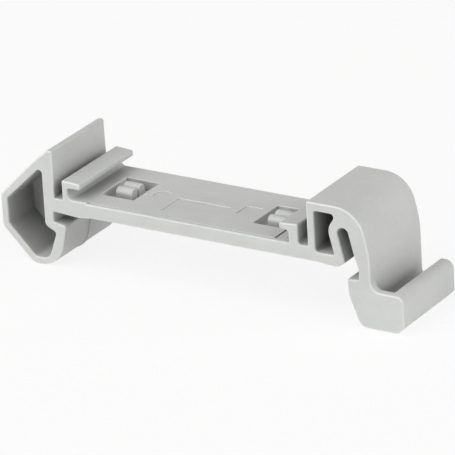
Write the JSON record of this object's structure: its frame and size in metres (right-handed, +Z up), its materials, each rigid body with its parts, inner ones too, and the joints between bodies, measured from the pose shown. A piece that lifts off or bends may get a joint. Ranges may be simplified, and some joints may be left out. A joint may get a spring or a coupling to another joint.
{
  "type": "din rail adapter",
  "caption": "Clip-on adapter plate for a top-hat rail: a hollow fixed hook, a moulded spring latch with a pry tab, and a lipped channel with detent ribs on top.",
  "frame": {"origin": "middle of the rail seat, on the underside of the plate, half way between the ends of the rail's brims and at mid width", "axes": "+X across the rail from the fixed hook to the sprung latch, +Y along the rail, +Z up, away from the rail"},
  "size_m": [0.046, 0.01, 0.0125],
  "materials": {
    "polyamide": "satin light grey moulded polyamide"
  },
  "bodies": {
    "root": {"rail_adapter": "polyamide"}
  },
  "joints": []
}
